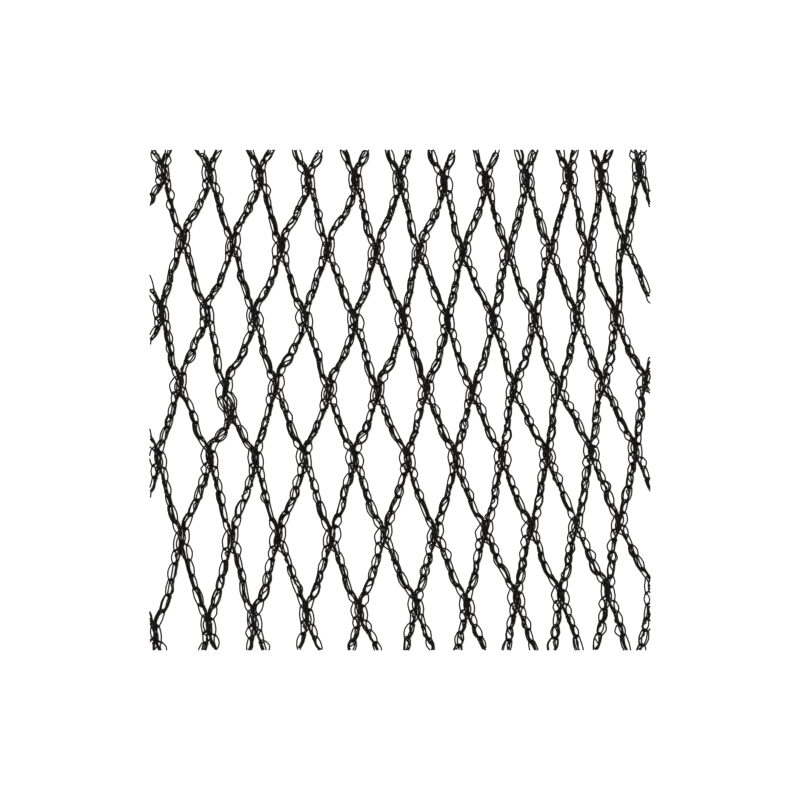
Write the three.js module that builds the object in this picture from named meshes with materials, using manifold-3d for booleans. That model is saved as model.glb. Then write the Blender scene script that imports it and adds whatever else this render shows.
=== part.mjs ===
// Pond netting: a cut square of black knitted diamond mesh, lying flat.
//
// The net is one cloth with no hem, cord or eyelet. It is knitted in wales, chains of loops that run
// from the top edge to the bottom edge. At each joint row a wale is knitted to its neighbour, first to
// the one on one side and then to the one on the other, and between joints it runs alone as a strand.
// The open cells between the strands are diamonds. The cloth is cut square through strands and cells.
//
// Units are millimetres. +Z is up, the cloth lies on z = 0, +Y runs along the wales, and the origin is
// under the middle of the cloth. Wales are numbered from the left, and joint rows from the top.

import * as THREE from 'three';
import { mergeVertices } from 'three/addons/utils/BufferGeometryUtils.js';
import Module from 'manifold-3d';

// ---- driving dimensions -------------------------------------------------------------------------

const CLOTH_SIDE = 100;          // the square that is cut from the net
const THICKNESS = 1.2;           // over the crossed loops of a strand
const STRAND_WIDTH = 1.6;        // across a strand, measured along X
const STRAND_CHAMFER = 0.3;      // rounds the strand's edges, top and bottom

const JOINT_WIDTH = 3.5;         // two wales side by side, over their outer loops
const JOINT_LENGTH = 4.4;        // along Y, from the fork above to the fork below
const JOINT_LEANS = [0.07, -0.1];  // X travel for each unit of Y, up and to the left: even rows, odd rows

const LAG_LEFTWARD = 0.16;       // how far a strand going down to the left trails a straight line
const LAG_RIGHTWARD = 0.06;      // the same for a strand going down to the right

// The joint rows, from the top. Each gives the middle of its joints at three wales: the left edge, the
// middle and the right edge of the net. The cloth hangs fuller down its right side, and its wales
// close up towards the top right corner. The last row lies just past the cut.
const EDGE_WALES = { left: 0.5, middle: 11.5, right: 22.5 };
const JOINT_ROWS = [
  { xLeft: -48.4, xMiddle: 4.4, xRight: 47.8, yLeft: 46.0, yMiddle: 43.4, yRight: 45.8 },
  { xLeft: -49.0, xMiddle: 4.4, xRight: 49.0, yLeft: 32.6, yMiddle: 29.6, yRight: 31.2 },
  { xLeft: -49.2, xMiddle: 5.0, xRight: 51.4, yLeft: 18.0, yMiddle: 15.6, yRight: 17.2 },
  { xLeft: -49.8, xMiddle: 5.0, xRight: 53.2, yLeft: 3.6, yMiddle: 1.8, yRight: 4.6 },
  { xLeft: -48.8, xMiddle: 6.0, xRight: 56.0, yLeft: -11.2, yMiddle: -11.8, yRight: -9.2 },
  { xLeft: -50.4, xMiddle: 6.8, xRight: 57.6, yLeft: -27.8, yMiddle: -26.6, yRight: -22.8 },
  { xLeft: -50.2, xMiddle: 8.0, xRight: 59.4, yLeft: -46.4, yMiddle: -41.0, yRight: -37.0 },
  { xLeft: -49.4, xMiddle: 9.4, xRight: 60.6, yLeft: -61.4, yMiddle: -55.8, yRight: -53.0 },
];
const ROW_PITCH = 13.9;          // from one row to the next, past the first and last rows above
const ROWS_ABOVE = 2;            // rows drawn above the table's first, then cut away
const ROWS_BELOW = 1;            // rows drawn below its last, then cut away

// The wales were pulled sideways in a wave that grows from row to row and dies out to the right.
const SWAY = { sizePerRow: 0.4, wales: 13, fade: 9 };

// One joint was knitted over twice the courses, so it reaches further down than the others.
const LONG_JOINT = { row: 3, wale: 3, extra: 3.4 };

// The lattice is drawn past the square on every side before the square is cut from it.
const FIRST_WALE = -2;
const LAST_WALE = 25;
const MARGIN = 40;
const CUT_DEPTH = 4 * THICKNESS;        // the cutting block passes both faces of the cloth

const STRAND_STATIONS = [0.35, 0.75];   // shares of the way down a strand where its edges bend

// ---- the wales and their joints -----------------------------------------------------------------

// The value at a wale of the smooth curve through a row's three given places.
function alongRow(wale, left, middle, right) {
  const half = (EDGE_WALES.right - EDGE_WALES.left) / 2;
  const s = (wale - EDGE_WALES.middle) / half;
  return middle + (s * (right - left)) / 2 + s * s * ((left + right) / 2 - middle);
}

// The row of a number, with its sway and how far up it is moved: a row past the table repeats the
// nearest one.
function rowOf(rowIndex) {
  const nearest = THREE.MathUtils.clamp(rowIndex, 0, JOINT_ROWS.length - 1);
  const up = (nearest - rowIndex) * ROW_PITCH;
  return { ...JOINT_ROWS[nearest], up, sway: SWAY.sizePerRow * nearest };
}

// True where a wale is the left one of the two wales that a joint in this row holds.
function isLeftWale(rowIndex, wale) {
  return (rowIndex + wale) % 2 === 0;
}

// The middle, the half length and the lean of the joint that holds a wale in a row.
function jointOf(rowIndex, wale) {
  const row = rowOf(rowIndex);
  const leftWale = isLeftWale(rowIndex, wale) ? wale : wale - 1;
  const middle = leftWale + 0.5;
  const sway = row.sway * Math.cos((2 * Math.PI * middle) / SWAY.wales) * Math.exp(-middle / SWAY.fade);
  const isLong = rowIndex === LONG_JOINT.row && leftWale === LONG_JOINT.wale;
  const extra = isLong ? LONG_JOINT.extra : 0;
  return {
    x: alongRow(middle, row.xLeft, row.xMiddle, row.xRight) + sway,
    y: alongRow(middle, row.yLeft, row.yMiddle, row.yRight) + row.up - extra / 2,
    half: (JOINT_LENGTH + extra) / 2,
    lean: JOINT_LEANS[rowIndex % 2 === 0 ? 0 : 1],
  };
}

// A point on the side of a joint: side is -1 for its left side, 0 for its middle and 1 for its
// right side, and end is 1 for its top and -1 for its bottom.
function jointCorner(joint, side, end) {
  const x = joint.x + (side * JOINT_WIDTH) / 2 - end * joint.half * joint.lean;
  return new THREE.Vector2(x, joint.y + end * joint.half);
}

// One edge of a strand, from the joint above to the joint below it, as the points between them.
function strandEdge(rowIndex, wale, side) {
  const fromLeft = isLeftWale(rowIndex, wale);
  const above = jointCorner(jointOf(rowIndex, wale), 0, -1);
  const below = jointCorner(jointOf(rowIndex + 1, wale), 0, 1);
  const inset = (JOINT_WIDTH - STRAND_WIDTH) / 2;
  const lag = fromLeft ? LAG_LEFTWARD : LAG_RIGHTWARD;
  above.x += fromLeft ? -inset : inset;
  below.x += fromLeft ? inset : -inset;
  return STRAND_STATIONS.map((share) => {
    const eased = share - lag * Math.sin(Math.PI * share);
    const x = THREE.MathUtils.lerp(above.x, below.x, eased) + (side * STRAND_WIDTH) / 2;
    return new THREE.Vector2(x, THREE.MathUtils.lerp(above.y, below.y, share));
  });
}

// ---- the cells ----------------------------------------------------------------------------------

// One side of a cell, from the joint at its top to the joint at its bottom. The wale that bounds it
// passes the joint in the row between them.
function cellSide(rowIndex, wale, side) {
  const passed = jointOf(rowIndex + 1, wale);
  return [
    ...strandEdge(rowIndex, wale, side),
    jointCorner(passed, side, 1),
    jointCorner(passed, side, -1),
    ...strandEdge(rowIndex + 1, wale, side),
  ];
}

// The outline of the open diamond under the joint that holds leftWale and the wale to its right.
function cellPath(rowIndex, leftWale) {
  const top = jointCorner(jointOf(rowIndex, leftWale), 0, -1);
  const bottom = jointCorner(jointOf(rowIndex + 2, leftWale), 0, 1);
  const leftSide = cellSide(rowIndex, leftWale, 1);
  const rightSide = cellSide(rowIndex, leftWale + 1, -1);
  return new THREE.Path([top, ...leftSide, bottom, ...rightSide.reverse()]);
}

function allCells() {
  const cells = [];
  const lastRow = JOINT_ROWS.length - 1 + ROWS_BELOW;
  for (let rowIndex = -ROWS_ABOVE; rowIndex + 2 <= lastRow; rowIndex += 1) {
    for (let wale = FIRST_WALE; wale < LAST_WALE; wale += 1) {
      if (isLeftWale(rowIndex, wale)) {
        cells.push(cellPath(rowIndex, wale));
      }
    }
  }
  return cells;
}

// ---- the cloth ----------------------------------------------------------------------------------

function latticeGeometry() {
  const reach = CLOTH_SIDE / 2 + MARGIN;
  const sheet = new THREE.Shape([
    new THREE.Vector2(-reach, -reach),
    new THREE.Vector2(reach, -reach),
    new THREE.Vector2(reach, reach),
    new THREE.Vector2(-reach, reach),
  ]);
  sheet.holes = allCells();
  const geometry = new THREE.ExtrudeGeometry(sheet, {
    depth: THICKNESS - 2 * STRAND_CHAMFER,
    bevelEnabled: true,
    bevelThickness: STRAND_CHAMFER,
    bevelSize: STRAND_CHAMFER,
    bevelOffset: -STRAND_CHAMFER,
    bevelSegments: 1,
  });
  return geometry.translate(0, 0, STRAND_CHAMFER);
}

const wasm = await Module();
wasm.setup();

function toSolid(geometry) {
  geometry.deleteAttribute('normal');
  geometry.deleteAttribute('uv');
  const merged = mergeVertices(geometry);
  return new wasm.Manifold(new wasm.Mesh({
    numProp: 3,
    vertProperties: merged.attributes.position.array,
    triVerts: new Uint32Array(merged.index.array),
  }));
}

function toGeometry(solid) {
  const mesh = solid.getMesh();
  const geometry = new THREE.BufferGeometry();
  geometry.setAttribute('position', new THREE.BufferAttribute(mesh.vertProperties, 3));
  geometry.setIndex(new THREE.BufferAttribute(mesh.triVerts, 1));
  geometry.computeVertexNormals();
  return geometry;
}

const cutSquare = new THREE.BoxGeometry(CLOTH_SIDE, CLOTH_SIDE, CUT_DEPTH);
const cloth = toSolid(latticeGeometry()).intersect(toSolid(cutSquare));

const netting = new THREE.Mesh(
  toGeometry(cloth),
  new THREE.MeshStandardMaterial({ color: 0x1c1b1a, roughness: 0.5, metalness: 0 }),
);
netting.name = 'netting';

const model = new THREE.Group();
model.add(netting);

export default model;
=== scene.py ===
"""Pond netting: a cut square of black knitted diamond mesh, modelled loop by loop.

The net is a warp knit of two yarns to a wale. In every course the front yarn makes a loop in its own
wale. The back yarn does too, but at a joint it makes its loop in the neighbouring wale and comes back,
and that ties the two wales together. A loop's two legs rise from its feet, which stand in the head of
the loop below, and behind them a float carries the yarn on to the next foot.

Lengths are in millimetres until the meshes are made. +Y runs up the wales, +X across them. Wales are
numbered from the left, and joint rows from the top.
"""

from collections import namedtuple

import bpy
import numpy as np
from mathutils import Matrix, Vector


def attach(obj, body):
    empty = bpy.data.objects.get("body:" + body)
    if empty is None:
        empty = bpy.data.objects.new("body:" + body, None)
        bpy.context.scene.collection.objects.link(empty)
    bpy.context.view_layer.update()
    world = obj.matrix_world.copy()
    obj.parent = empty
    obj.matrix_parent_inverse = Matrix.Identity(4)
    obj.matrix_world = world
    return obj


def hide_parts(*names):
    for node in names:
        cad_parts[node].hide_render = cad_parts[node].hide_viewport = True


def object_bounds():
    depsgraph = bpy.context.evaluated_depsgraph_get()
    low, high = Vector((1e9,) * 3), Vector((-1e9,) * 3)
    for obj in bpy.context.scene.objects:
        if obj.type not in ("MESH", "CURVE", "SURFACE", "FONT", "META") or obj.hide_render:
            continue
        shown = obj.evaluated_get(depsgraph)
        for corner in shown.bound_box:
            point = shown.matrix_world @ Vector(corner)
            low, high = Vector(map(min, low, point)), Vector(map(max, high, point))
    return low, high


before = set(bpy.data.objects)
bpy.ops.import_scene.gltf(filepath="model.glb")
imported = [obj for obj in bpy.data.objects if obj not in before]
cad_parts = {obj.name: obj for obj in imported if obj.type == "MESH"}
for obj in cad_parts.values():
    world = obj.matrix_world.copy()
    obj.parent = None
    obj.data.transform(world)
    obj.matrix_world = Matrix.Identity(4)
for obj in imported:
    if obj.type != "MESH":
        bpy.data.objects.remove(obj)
cad_low, cad_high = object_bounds()

MM = 0.001
rng = np.random.default_rng(7)

# ---- the rows of joints, as in the CAD part ------------------------------------------------------

# A row gives the middle of its joints at three wales: the left edge, the middle and the right edge.
Row = namedtuple("Row", "x_left x_middle x_right y_left y_middle y_right")
LEFT_EDGE_WALE, MIDDLE_WALE, RIGHT_EDGE_WALE = 0.5, 11.5, 22.5
JOINT_ROWS = (
    Row(-48.4, 4.4, 47.8, 46.0, 43.4, 45.8),
    Row(-49.0, 4.4, 49.0, 32.6, 29.6, 31.2),
    Row(-49.2, 5.0, 51.4, 18.0, 15.6, 17.2),
    Row(-49.8, 5.0, 53.2, 3.6, 1.8, 4.6),
    Row(-48.8, 6.0, 56.0, -11.2, -11.8, -9.2),
    Row(-50.4, 6.8, 57.6, -27.8, -26.6, -22.8),
    Row(-50.2, 8.0, 59.4, -46.4, -41.0, -37.0),
    Row(-49.4, 9.4, 60.6, -61.4, -55.8, -53.0),
)
ROW_PITCH = 13.9  # from one row to the next, past the first row and the last
FIRST_ROW, LAST_ROW = -1, 8
FIRST_WALE, LAST_WALE = -1, 24
# The wales were pulled sideways in a wave that grows from row to row and dies out to the right.
SWAY_PER_ROW, SWAY_WALES, SWAY_FADE = 0.4, 13, 9.0

# ---- how the joints stray from their rows --------------------------------------------------------

JOINT_SHIFT = 0.18  # about one joint in three strays by more, along each axis
# Joints drawn out of place, each by its row and its left wale.
Pull = namedtuple("Pull", "row left_wale right up")
PULLED = (
    Pull(0, 0, 1.0, -0.4),
    Pull(0, 18, 0.7, 0.2),
    Pull(1, 11, -0.6, 0.3),
    Pull(1, 13, -0.7, -0.1),
    Pull(1, 21, -0.4, 0.9),
    Pull(2, 0, 0.7, -0.5),
    Pull(3, 3, -0.7, -0.3),
    Pull(3, 5, -0.2, 0.8),
    Pull(4, 0, -1.0, -0.6),
    Pull(5, 3, 0.6, 0.2),
    Pull(6, 0, -1.0, -0.5),
    Pull(6, 12, -0.2, -0.6),
)
SHIFT_ROWS = LAST_ROW - FIRST_ROW + 1
SHIFT_WALES = LAST_WALE - FIRST_WALE + 2  # a joint's left wale may be the one before the first


def shift_index(row, left_wale):
    """Where the table of shifts holds a joint's."""
    return row - FIRST_ROW, left_wale - FIRST_WALE + 1


joint_shifts = rng.normal(0, JOINT_SHIFT, (SHIFT_ROWS, SHIFT_WALES, 2))
for pull in PULLED:
    joint_shifts[shift_index(pull.row, pull.left_wale)] = (pull.right, pull.up)


def along_row(wale, left, middle, right):
    """The value at a wale of the smooth curve through a row's three given places."""
    s = (wale - MIDDLE_WALE) / ((RIGHT_EDGE_WALE - LEFT_EDGE_WALE) / 2)
    return middle + s * (right - left) / 2 + s * s * ((left + right) / 2 - middle)


def is_left_wale(row, wale):
    """True where a wale is the left one of the two that a joint in this row holds."""
    return (row + wale) % 2 == 0


def partner_of(row, wale):
    """The wale that is knitted to this one in a row."""
    return wale + 1 if is_left_wale(row, wale) else wale - 1


def joint_middle(row, wale):
    """The middle of the joint that holds a wale in a row."""
    nearest = min(max(row, 0), len(JOINT_ROWS) - 1)
    r = JOINT_ROWS[nearest]
    left_wale = wale if is_left_wale(row, wale) else wale - 1
    middle = left_wale + 0.5
    sway = SWAY_PER_ROW * nearest * np.cos(2 * np.pi * middle / SWAY_WALES) * np.exp(-middle / SWAY_FADE)
    x = along_row(middle, r.x_left, r.x_middle, r.x_right) + sway
    y = along_row(middle, r.y_left, r.y_middle, r.y_right) + (nearest - row) * ROW_PITCH
    return np.array([x, y]) + joint_shifts[shift_index(row, left_wale)]


# ---- the course chart ----------------------------------------------------------------------------
# One row for each course from a joint down to the next. Sideways places are from the wale's middle,
# positive towards the outer side of the joint above, and f and b are the front and the back yarn.
# share is the course's share of the way down. node is where its front feet come up through the course
# below, spread is half their width, and foot is the back feet's place. outer and inner are a loop's two
# legs, and low and high are two places of the float behind them. rise is the leg that the yarn goes up: 1
# is the outer one and -1 the inner one.

Course = namedtuple(
    "Course",
    "name share  node spread  f_outer f_inner f_low f_high f_rise  "
    "b_foot b_outer b_inner b_low b_high b_rise",
)
LEFTWARD = (
    Course("joint", 0.204, -0.02, 0.42, 0.86, 0.04, -0.45, -0.25, -1, -0.55, -0.38, -0.72, 0.0, 0.0, 1),
    Course("fork", 0.136, -0.10, 0.34, 0.84, -0.30, -0.45, 0.10, -1, -0.10, -0.25, -0.52, 0.0, 0.0, 1),
    Course("open", 0.165, 0.10, 0.34, 0.77, -0.36, -0.40, -0.20, 1, 0.10, -0.06, -0.58, -0.45, -0.20, -1),
    Course("pair", 0.150, -0.08, 0.36, 0.80, -0.62, -0.50, 0.15, -1, -0.05, 0.42, -0.66, -0.45, -0.40, 1),
    Course("turn", 0.180, 0.05, 0.36, 0.66, -0.84, 0.45, -0.20, -1, 0.0, 0.52, -0.62, 0.45, 0.35, 1),
    Course("close", 0.150, 0.25, 0.40, 0.76, -0.80, 0.60, 0.35, 1, 0.35, 0.68, 0.30, 0.55, 0.30, -1),
)
RIGHTWARD = (
    Course("joint", 0.204, -0.02, 0.42, 0.86, 0.04, -0.45, -0.25, -1, -0.55, -0.38, -0.72, 0.0, 0.0, 1),
    Course("fork", 0.146, -0.05, 0.33, 0.78, -0.36, -0.45, -0.40, 1, -0.20, -0.20, -0.55, 0.0, 0.0, -1),
    Course("open", 0.165, 0.0, 0.33, 0.78, -0.45, -0.40, -0.35, -1, 0.0, -0.10, -0.50, -0.25, -0.20, 1),
    Course("pair", 0.145, 0.0, 0.33, 0.80, -0.66, -0.15, -0.15, -1, 0.0, -0.05, -0.32, -0.20, -0.10, 1),
    Course("turn", 0.208, 0.0, 0.33, 0.76, -0.80, -0.40, -0.30, 1, 0.0, -0.08, -0.55, -0.30, -0.20, -1),
    Course("close", 0.144, 0.28, 0.40, 0.70, -0.66, 0.60, 0.15, -1, 0.35, 0.66, 0.36, 0.50, 0.50, 1),
)
CHARTS = {-1: LEFTWARD, 1: RIGHTWARD}

# One joint was knitted over more courses than the others, and the strands below it over fewer.
LONG_JOINT = (
    Course("joint", 0.204, -0.02, 0.42, 0.88, -0.04, -0.45, -0.25, -1, -0.55, -0.44, -0.72, 0.0, 0.0, 1),
    Course("lattice", 0.190, -0.02, 0.40, 0.90, 0.02, 0.20, 0.10, -1, -0.10, 0.30, -0.30, 0.0, 0.0, 1),
    Course("block", 0.130, -0.02, 0.40, 0.50, -0.24, -0.40, -0.25, -1, -0.40, -0.10, -0.90, 0.0, 0.0, 1),
)
BELOW_LONG_JOINT = ("fork", "turn", "close")
CROSSING = ("joint", "block")  # the back yarn makes its loop in the neighbouring wale
STRAIGHT_FLOATS = (*CROSSING, "fork", "lattice")  # behind these the back yarn's float runs straight
FLIPPING, FLIP_CHANCE = ("pair", "turn"), 0.22  # courses that sometimes lie the other way round

SHARE_SPREAD, MOST_SHORTER = 0.11, 0.05  # some courses are longer, or a little shorter
SWELL_SPREAD = 0.12  # some are wider or narrower
LEG_JITTER = 0.12  # how far a stitch's legs stray sideways, in both yarns alike

# ---- curves --------------------------------------------------------------------------------------

WALE_STEPS, YARN_STEPS = 12, 6  # of a smooth curve, between each two of its points
SLACK = 0.038  # how far a thinned curve may leave the smooth one
HEIGHT_COUNTS = 0.6  # in that, a length along Z counts for this much


def smooth_through(points, steps):
    """A Catmull-Rom curve through the points."""
    p = np.vstack([2 * points[0] - points[1], points, 2 * points[-1] - points[-2]])
    t = np.arange(steps)[:, None, None] / steps
    a, b, c, d = p[:-3], p[1:-2], p[2:-1], p[3:]
    curve = 0.5 * (
        2 * b + (c - a) * t + (2 * a - 5 * b + 4 * c - d) * t**2 + (3 * b - a - 3 * c + d) * t**3
    )
    return np.vstack([curve.transpose(1, 0, 2).reshape(-1, points.shape[1]), points[-1:]])


def thinned(line):
    """The line with every point left out that the others can do without."""
    seen = line * [1, 1, HEIGHT_COUNTS]
    keep = np.zeros(len(line), bool)
    keep[[0, -1]] = True
    spans = [(0, len(line) - 1)]
    while spans:
        first, last = spans.pop()
        if last - first < 2:
            continue
        between = seen[first + 1 : last] - seen[first]
        along = seen[last] - seen[first]
        length = np.linalg.norm(along)
        if length > SLACK:
            off = np.linalg.norm(np.cross(between, along / length), axis=1)
        else:
            off = np.linalg.norm(between, axis=1)
        worst = int(off.argmax())
        if off[worst] > SLACK:
            middle = first + 1 + worst
            keep[middle] = True
            spans += [(first, middle), (middle, last)]
    return line[keep]


# ---- wales ---------------------------------------------------------------------------------------
# side is -1 for a joint's left wale and for the strand that goes down to the left from it, and 1 for
# its right wale and that one's strand.

WALE_FROM_JOINT = 0.76  # from a joint's middle to the middle of each of its wales
WALE_RISE = 0.40  # at a joint an even wale lies this much higher, and an odd one this much lower
JOINT_STRAIGHT = 1.3  # half the length over which the two wales run side by side
JOINT_LEAN = (0.07, -0.10)  # to the left for each unit of Y up, in even rows and in odd ones
# A leftward strand runs straight for this long out of the joint above and into the one below, and slants
# between. A rightward one slants all the way.
STRAIGHT_ON = {-1: 1.5, 1: 0.0}
STRAND_SHARES = {-1: (0.0, 0.33, 0.66, 1.0), 1: (0.25, 0.5, 0.75)}  # of the slant, where it has stations
LAG = {-1: 0.08, 1: 0.04}  # how a strand trails a straight line
LAG_SPREAD, WANDER = 0.03, 0.12  # how much the lag varies, and how far a strand wanders sideways

LONG_JOINT_ROW, LONG_JOINT_WALES = 3, (3, 4)
# Its wales run on side by side through these stations, right and up from where they pass its middle,
# and each station brings them closer together than the one before.
LONG_JOINT_STATIONS = np.array([[0.5, -2.6], [0.9, -4.0], [1.1, -5.6]])
LONG_JOINT_CLOSING = 0.1

Stitch = namedtuple("Stitch", "row top bottom out course flip swell jitter")


def is_long_joint(row, wale):
    """True where the joint that holds a wale in a row is the long one."""
    return row == LONG_JOINT_ROW and wale in LONG_JOINT_WALES


def up_joint(row):
    """The way up a joint in a row, for each unit of Y."""
    return np.array([-JOINT_LEAN[row % 2], 1.0])


class Wale:
    """The middle line of a wale, from the top down, and the courses along it."""

    def __init__(self, number):
        self.number = number
        stations, marks = [], []
        for row in range(FIRST_ROW, LAST_ROW + 1):
            side = -1 if is_left_wale(row, number) else 1
            middle = self.joint_place(row, side)
            half = up_joint(row) * JOINT_STRAIGHT
            marks.append(len(stations))
            stations += [middle + half, middle, middle - half]
            start = middle - half
            if is_long_joint(row, number):
                for k, station in enumerate(LONG_JOINT_STATIONS):
                    stations.append(middle + station - [k * side * LONG_JOINT_CLOSING, 0])
                start = stations[-1]
            if row < LAST_ROW:
                stations += self.strand(row, side, start)
        self.line = smooth_through(np.array(stations), WALE_STEPS)
        steps = np.linalg.norm(np.diff(self.line, axis=0), axis=1)
        self.at = np.concatenate([[0], np.cumsum(steps)])
        self.joints = [self.at[(mark + 1) * WALE_STEPS] for mark in marks]
        tangent = np.gradient(self.line, self.at, axis=0)
        tangent /= np.linalg.norm(tangent, axis=1)[:, None]
        self.right = np.column_stack([-tangent[:, 1], tangent[:, 0]])
        self.stitches = self.count_stitches()

    def joint_place(self, row, side):
        """Where the wale passes the middle of its joint in a row."""
        rise = WALE_RISE if self.number % 2 == 0 else -WALE_RISE
        return joint_middle(row, self.number) + [side * WALE_FROM_JOINT, rise]

    def strand(self, row, side, start):
        """The stations of the strand from a row's joint down to the next."""
        end = self.joint_place(row + 1, -side) + up_joint(row + 1) * JOINT_STRAIGHT
        lag = LAG[side] + rng.normal(0, LAG_SPREAD)
        start = start - up_joint(row) * STRAIGHT_ON[side]
        end = end + up_joint(row + 1) * STRAIGHT_ON[side]
        found = []
        for share in STRAND_SHARES[side]:
            eased = share - lag * np.sin(np.pi * share)
            strays = rng.normal(0, WANDER) * np.sin(np.pi * share)
            x = start[0] + (end[0] - start[0]) * eased + strays
            y = start[1] + (end[1] - start[1]) * share
            found.append([x, y])
        return found

    def count_stitches(self):
        """The courses of the wale from the top down, each with its ends along the wale."""
        found = []
        for index, row in enumerate(range(FIRST_ROW, LAST_ROW)):
            out = -1 if is_left_wale(row, self.number) else 1
            chart = CHARTS[out]
            above = self.joints[index]
            length = self.joints[index + 1] - above
            if is_long_joint(row, self.number):
                chart = [*LONG_JOINT, *(course for course in chart if course.name in BELOW_LONG_JOINT)]
            shares = np.array([course.share for course in chart])
            longer = rng.normal(0, SHARE_SPREAD, len(chart) - 1)
            shares[1:] *= 1 + np.maximum(longer, -MOST_SHORTER)
            shares /= shares.sum()
            edges = above + length * (np.cumsum(shares) - shares[0] / 2)
            top = found[-1].bottom if found else above - length * shares[0] / 2
            for course, bottom in zip(chart, edges, strict=True):
                can_flip = course.name in FLIPPING
                flip = -1 if can_flip and rng.random() < FLIP_CHANCE else 1
                swell = 1 + rng.normal(0, SWELL_SPREAD)
                jitter = rng.normal(0, LEG_JITTER, 2)
                found.append(Stitch(row, top, bottom, out, course, flip, swell, jitter))
                top = bottom
        return found

    def place(self, along, side):
        """The point at a length down the wale and a distance to its right."""
        line = np.array([np.interp(along, self.at, self.line[:, k]) for k in (0, 1)])
        right = np.array([np.interp(along, self.at, self.right[:, k]) for k in (0, 1)])
        return line + side * right


# ---- yarns ---------------------------------------------------------------------------------------

FILAMENT = 0.30  # diameter
WIDTH, FULLER = 0.83, 0.03  # the chart's sideways unit in the first row, and its growth for each row down
NODE = 0.30  # how far from a course's end its loop starts to narrow
FEET_BELOW = 0.5 * NODE  # how far below its course a loop starts and ends
NECK_ABOVE, HEAD_ABOVE = 0.4 * NODE, 1.2 * NODE  # how far above its course its head turns in, and ends
EDGE_SHARE = 0.55  # of the way from node to leg, which a loop has gone where it starts to narrow
HEAD_EASE = {"f": 0.16, "b": 0.08}  # how much wider a head is than the feet it holds, on each side
BACK_FOOT_HALF_WIDTH = 0.12
YARN_JITTER, FLOAT_JITTER = 0.09, 0.14  # how far a yarn's own legs stray besides, and its floats

# Heights above the floor, from a loop's foot over its leg to its head. The back yarn keeps below the
# front one.
Heights = namedtuple("Heights", "foot low_leg leg shoulder neck head")
LOOP_HEIGHTS = {
    "f": Heights(0.45, 0.77, 1.05, 1.01, 0.80, 0.72),
    "b": Heights(0.22, 0.508, 0.74, 0.70, 0.50, 0.42),
}
FLOAT_HEIGHT = 0.15
FLOAT_SHARES = (0.3, 0.7)  # of the way up a course, where its float has its low place and its high one


def unit_at(stitch):
    """The chart's sideways unit. The strands get fuller towards the bottom of the net."""
    return WIDTH + FULLER * max(stitch.row, 0)


def float_points(own, stitch, yarn, start, end):
    """The float behind a stitch, from the foot where its loop ends to the foot of the next loop."""
    course = stitch.course
    offsets = np.array([getattr(course, yarn + "_low"), getattr(course, yarn + "_high")])
    offsets = (stitch.flip * unit_at(stitch) * offsets + rng.normal(0, FLOAT_JITTER, 2)) * stitch.out
    straight = yarn == "b" and course.name in STRAIGHT_FLOATS
    points = []
    for share, offset in zip(FLOAT_SHARES, offsets, strict=True):
        if straight:
            x, y = np.array(start[:2]) * (1 - share) + np.array(end[:2]) * share
        else:
            x, y = own.place(stitch.bottom + (stitch.top - stitch.bottom) * share, offset)
        points.append((x, y, FLOAT_HEIGHT))
    return points


def loop_points(host, stitch, above, yarn, foot, sides):
    """A loop in a wale's stitch, from its first foot round to its second, as (x, y, z).

    Its head turns in the node of the stitch above.
    """
    length = stitch.bottom - stitch.top
    rise = stitch.flip * getattr(stitch.course, yarn + "_rise")
    first, second = sides if rise > 0 else sides[::-1]
    head = above.course.node * above.out * stitch.out
    turn = rise * (above.course.spread + HEAD_EASE[yarn])
    step = rise * (stitch.course.spread if yarn == "f" else BACK_FOOT_HALF_WIDTH)
    height = LOOP_HEIGHTS[yarn]

    def narrowing(end, side):
        return end + EDGE_SHARE * (side - end)

    plan = (
        (-FEET_BELOW, foot + step, height.foot),
        (NODE, narrowing(foot + step, first), height.low_leg),
        (0.5 * length, first, height.leg),
        (length - NODE, narrowing(head + turn, first), height.shoulder),
        (length + NECK_ABOVE, head + turn, height.neck),
        (length + HEAD_ABOVE, head, height.head),
        (length + NECK_ABOVE, head - turn, height.neck),
        (length - NODE, narrowing(head - turn, second), height.shoulder),
        (0.5 * length, second, height.leg),
        (NODE, narrowing(foot - step, second), height.low_leg),
        (-FEET_BELOW, foot - step, height.foot),
    )
    points = []
    for up, side, z in plan:
        x, y = host.place(stitch.bottom - up, side * stitch.out)
        points.append((x, y, z))
    return points


def yarn_line(wales, number, yarn):
    """The whole yarn of a wale, knitted from the bottom course up."""
    own = wales[number]
    points = []
    for index in reversed(range(len(own.stitches))):
        stitch = own.stitches[index]
        host = own
        if yarn == "b" and stitch.course.name in CROSSING:
            host = wales.get(partner_of(stitch.row, number), own)
        held = host.stitches[index]
        above = host.stitches[max(index - 1, 0)]
        sides = np.array([getattr(held.course, yarn + "_outer"), getattr(held.course, yarn + "_inner")])
        sides = held.flip * held.swell * unit_at(held) * sides + held.jitter + rng.normal(0, YARN_JITTER, 2)
        if held.flip < 0:
            sides = sides[::-1]
        foot = held.course.b_foot if yarn == "b" else held.course.node
        loop = loop_points(host, held, above, yarn, foot, sides)
        if points:
            points += float_points(own, own.stitches[index + 1], yarn, points[-1], loop[0])
        points += loop
    line = smooth_through(np.array(points), YARN_STEPS)
    line[:, 2] = np.maximum(line[:, 2], FILAMENT / 2)
    return thinned(line)


# ---- cutting -------------------------------------------------------------------------------------

SHORTEST_RUN = 3.0  # a shorter bit of yarn falls out at the cut
cut_low = np.array(cad_low[:2]) / MM
cut_high = np.array(cad_high[:2]) / MM


def edge_crossing(inner, outer):
    """The point where the way from a point in the square to one outside meets its edge."""
    share = 1.0
    for k in (0, 1):
        for edge in (cut_low[k], cut_high[k]):
            if (inner[k] - edge) * (outer[k] - edge) < 0:
                share = min(share, (edge - inner[k]) / (outer[k] - inner[k]))
    return inner + (outer - inner) * share


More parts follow.
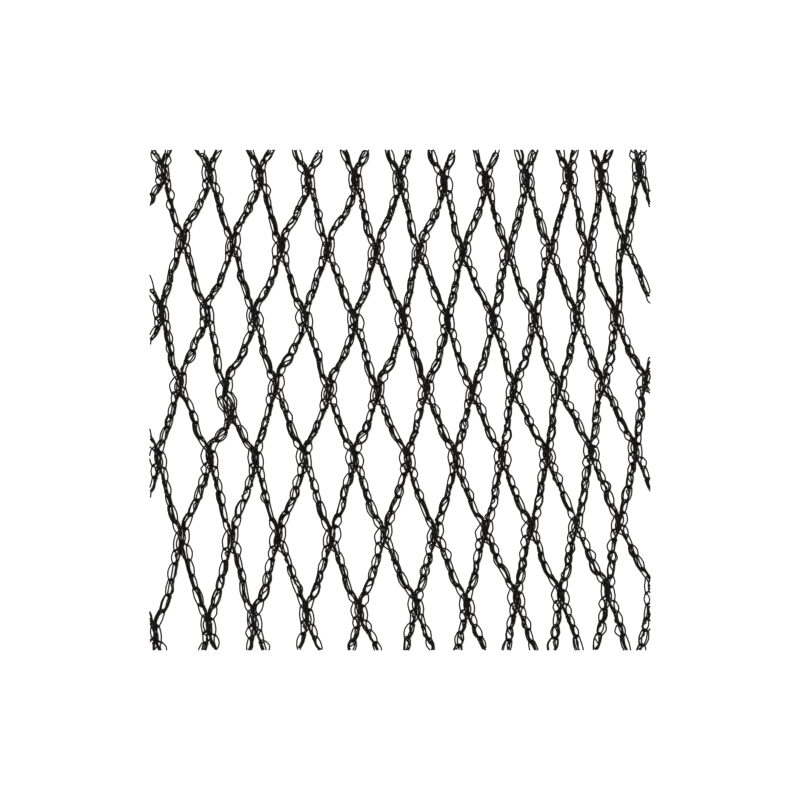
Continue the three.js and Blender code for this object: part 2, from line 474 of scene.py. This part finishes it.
def cut_to_square(line):
    """The runs of a line inside the square, each ending on its edge."""
    inside = np.all((line[:, :2] >= cut_low) & (line[:, :2] <= cut_high), axis=1)
    runs, run = [], []
    for i in range(len(line)):
        if inside[i]:
            if not run and i:
                run.append(edge_crossing(line[i], line[i - 1]))
            run.append(line[i])
        elif run:
            run.append(edge_crossing(line[i - 1], line[i]))
            runs.append(np.array(run))
            run = []
    if run:
        runs.append(np.array(run))
    return [r for r in runs if np.linalg.norm(np.diff(r, axis=0), axis=1).sum() > SHORTEST_RUN]


wales = {number: Wale(number) for number in range(FIRST_WALE, LAST_WALE + 1)}
front_lines, back_lines = [], []
for number in wales:
    front_lines += cut_to_square(yarn_line(wales, number, "f"))
    back_lines += cut_to_square(yarn_line(wales, number, "b"))

# ---- meshes --------------------------------------------------------------------------------------

SIDES = 5
ANGLES = 2 * np.pi * np.arange(SIDES) / SIDES
ASKEW = (0.3, 0.2, 0.9)  # turns a tube's first ring, and no tube starts along it
STRIPS = 240  # side by side on the UV map, each with a stretch of yarn along it
STRIP_SHARE = 0.8  # of a strip's width that the yarn takes
STRIP_ENDS = (0.005, 0.965)  # where a strip starts and ends along the map
STRIP_SPARE = 1.002  # the strips' length in all, for each unit of yarn
CAP_PLACE, CAP_SIZE = (0.995, 0.985), 0.002  # the cut ends share one spot, above the strips


def tube(line, radius):
    """Rings of a tube round a line."""
    way = np.diff(line, axis=0)
    way /= np.linalg.norm(way, axis=1)[:, None]
    tangents = np.vstack([way[:1], way[:-1] + way[1:], way[-1:]])
    tangents /= np.linalg.norm(tangents, axis=1)[:, None]
    normal = np.cross(tangents[0], ASKEW)
    normals = []
    for tangent in tangents:
        normal = normal - tangent * np.dot(normal, tangent)
        normal = normal / np.linalg.norm(normal)
        normals.append(normal)
    normals = np.array(normals)
    binormals = np.cross(tangents, normals)
    out = np.cos(ANGLES)[None, :, None] * normals[:, None, :]
    out = out + np.sin(ANGLES)[None, :, None] * binormals[:, None, :]
    return line[:, None, :] + radius * out


def strip_places(start, end, strip_length):
    """The UV places of the faces between rings, four corners each. One strip is filled, then the next."""
    strip = np.floor(start / strip_length)
    low, high = STRIP_ENDS
    v0 = low + (high - low) * (start / strip_length - strip)
    v1 = v0 + (high - low) * (end - start) / strip_length
    edges = np.arange(SIDES + 1) / SIDES * STRIP_SHARE + (1 - STRIP_SHARE) / 2
    u = (strip[:, None] + edges) / STRIPS
    corners = np.empty((len(start), SIDES, 4, 2))
    corners[:, :, (0, 3), 0] = u[:, :-1, None]
    corners[:, :, (1, 2), 0] = u[:, 1:, None]
    corners[:, :, :2, 1] = v0[:, None, None]
    corners[:, :, 2:, 1] = v1[:, None, None]
    return corners.reshape(-1, 2)


def make_piece(name, lines):
    """One mesh of closed tubes along the lines."""
    lengths = [np.linalg.norm(np.diff(line, axis=0), axis=1) for line in lines]
    strip_length = STRIP_SPARE * sum(part.sum() for part in lengths) / STRIPS
    cap = CAP_SIZE * np.column_stack([np.cos(ANGLES), np.sin(ANGLES)]) + CAP_PLACE
    verts, faces, places = [], [], []
    count, done = 0, 0.0
    for line, parts in zip(lines, lengths, strict=True):
        index = count + np.arange(len(line) * SIDES).reshape(-1, SIDES)
        around = np.roll(index, -1, axis=1)
        quads = np.stack([index[:-1], around[:-1], around[1:], index[1:]], axis=-1)
        faces += quads.reshape(-1, 4).tolist()
        faces += [index[0][::-1].tolist(), index[-1].tolist()]
        ends = done + np.cumsum(parts)
        places += [strip_places(ends - parts, ends, strip_length), cap, cap]
        verts.append(tube(line, FILAMENT / 2).reshape(-1, 3))
        count += index.size
        done = ends[-1]
    mesh = bpy.data.meshes.new(name)
    mesh.from_pydata((np.vstack(verts) * MM).tolist(), [], faces)
    uv_map = mesh.uv_layers.new(name="OFBake")
    uv_map.uv.foreach_set("vector", np.vstack(places).astype(np.float32).ravel())
    mesh.shade_smooth()
    mesh.update()
    piece = bpy.data.objects.new(name, mesh)
    bpy.context.scene.collection.objects.link(piece)
    return piece


front = make_piece("front_yarns", front_lines)
back = make_piece("back_yarns", back_lines)

# ---- material ------------------------------------------------------------------------------------

# Noises. scale is in cells to a metre, and where a noise drives a ramp, low and high are its ends.
Noise = namedtuple("Noise", "scale detail low high", defaults=(0.0, 1.0))
TONE = Noise(1400.0, 2.0, 0.35, 0.70)
DUST = Noise(5200.0, 1.0, 0.40, 0.75)
DUST_PATCHES = Noise(75.0, 3.0, 0.50, 0.72)
GLOSS = Noise(2600.0, 2.0)
BUMPS = Noise(9000.0, 2.0)

DARK_TONE, LIGHT_TONE = (0.0310, 0.0282, 0.0225), (0.0580, 0.0530, 0.0430)
DARK_DUST, LIGHT_DUST = (0.032, 0.0305, 0.0275), (0.085, 0.081, 0.074)
NO_DUST, MOST_DUST = (0.0, 0.0, 0.0), (0.55, 0.55, 0.55)
LEAST_ROUGHNESS, MOST_ROUGHNESS = 0.34, 0.58
BUMP_STRENGTH, BUMP_DISTANCE = 0.25, 0.00002
SPECULAR = 0.35


def filament_material():
    """Black polyethylene filament: uneven in tone and gloss, finely rough, and dusty in patches."""
    material = bpy.data.materials.new("net_filament")
    material.use_nodes = True
    nodes, links = material.node_tree.nodes, material.node_tree.links
    shader = nodes["Principled BSDF"]
    places = nodes.new("ShaderNodeTexCoord").outputs["Object"]

    def value_of(noise):
        node = nodes.new("ShaderNodeTexNoise")
        node.inputs["Scale"].default_value = noise.scale
        node.inputs["Detail"].default_value = noise.detail
        links.new(places, node.inputs["Vector"])
        return node.outputs["Fac"]

    def ramp(noise, low_colour, high_colour):
        node = nodes.new("ShaderNodeValToRGB")
        first, last = node.color_ramp.elements
        first.position, last.position = noise.low, noise.high
        first.color, last.color = (*low_colour, 1), (*high_colour, 1)
        links.new(value_of(noise), node.inputs["Fac"])
        return node.outputs["Color"]

    mix = nodes.new("ShaderNodeMix")
    mix.data_type = "RGBA"
    mix_in = {socket.identifier: socket for socket in mix.inputs}
    mix_out = {socket.identifier: socket for socket in mix.outputs}
    links.new(ramp(DUST_PATCHES, NO_DUST, MOST_DUST), mix.inputs["Factor"])
    links.new(ramp(TONE, DARK_TONE, LIGHT_TONE), mix_in["A_Color"])
    links.new(ramp(DUST, DARK_DUST, LIGHT_DUST), mix_in["B_Color"])
    links.new(mix_out["Result_Color"], shader.inputs["Base Color"])

    gloss = nodes.new("ShaderNodeMapRange")
    gloss.inputs["To Min"].default_value = LEAST_ROUGHNESS
    gloss.inputs["To Max"].default_value = MOST_ROUGHNESS
    links.new(value_of(GLOSS), gloss.inputs["Value"])
    links.new(gloss.outputs["Result"], shader.inputs["Roughness"])

    bump = nodes.new("ShaderNodeBump")
    bump.inputs["Strength"].default_value = BUMP_STRENGTH
    bump.inputs["Distance"].default_value = BUMP_DISTANCE
    links.new(value_of(BUMPS), bump.inputs["Height"])
    links.new(bump.outputs["Normal"], shader.inputs["Normal"])
    shader.inputs["Specular IOR Level"].default_value = SPECULAR
    return material


filament = filament_material()
for piece in (front, back):
    piece.data.materials.append(filament)
    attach(piece, "root")
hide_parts("netting")

# ---- floor, light and camera ---------------------------------------------------------------------
# The cloth lies on a pale floor that glows a little, as on a light table, so the open cells stay white.

FLOOR_SIDE, FLOOR_DROP = 3.0, 0.00002
FLOOR_GREY, FLOOR_ROUGHNESS, FLOOR_GLOW = 0.55, 0.9, 0.77
WHITE = (1, 1, 1, 1)
SURROUNDING_LIGHT = 0.45
LAMP_PLACE, LAMP_SIZE, LAMP_WATTS = (-0.5, 0.6, 1.3), 1.2, 9.0
SENSOR_WIDTH, LENS = 36.0, 90.0
CAMERA_HEIGHT = 0.4005  # where 160 mm fill the frame at half a millimetre above the floor
VIEW_GAMMA = 0.7


def floor_material():
    """Plain grey that glows white."""
    material = bpy.data.materials.new("floor")
    material.use_nodes = True
    shader = material.node_tree.nodes["Principled BSDF"]
    shader.inputs["Base Color"].default_value = (FLOOR_GREY, FLOOR_GREY, FLOOR_GREY, 1)
    shader.inputs["Roughness"].default_value = FLOOR_ROUGHNESS
    shader.inputs["Emission Color"].default_value = WHITE
    shader.inputs["Emission Strength"].default_value = FLOOR_GLOW
    return material


bpy.ops.mesh.primitive_plane_add(size=FLOOR_SIDE, location=(0, 0, -FLOOR_DROP))
floor = bpy.context.object
floor.name = "floor"
floor.data.materials.append(floor_material())

world = bpy.data.worlds.new("studio")
world.use_nodes = True
background = world.node_tree.nodes["Background"]
background.inputs["Color"].default_value = WHITE
background.inputs["Strength"].default_value = SURROUNDING_LIGHT
bpy.context.scene.world = world

lamp_data = bpy.data.lights.new("key", "AREA")
lamp_data.energy = LAMP_WATTS
lamp_data.size = LAMP_SIZE
lamp = bpy.data.objects.new("key", lamp_data)
lamp.location = LAMP_PLACE
lamp.rotation_mode = "QUATERNION"
lamp.rotation_quaternion = lamp.location.to_track_quat("Z", "Y")
bpy.context.scene.collection.objects.link(lamp)

camera_data = bpy.data.cameras.new("camera")
camera_data.sensor_width = SENSOR_WIDTH
camera_data.lens = LENS
camera = bpy.data.objects.new("camera", camera_data)
camera.location = (0, 0, CAMERA_HEIGHT)
bpy.context.scene.collection.objects.link(camera)
bpy.context.scene.camera = camera
bpy.context.scene.view_settings.view_transform = "Standard"
bpy.context.scene.view_settings.gamma = VIEW_GAMMA
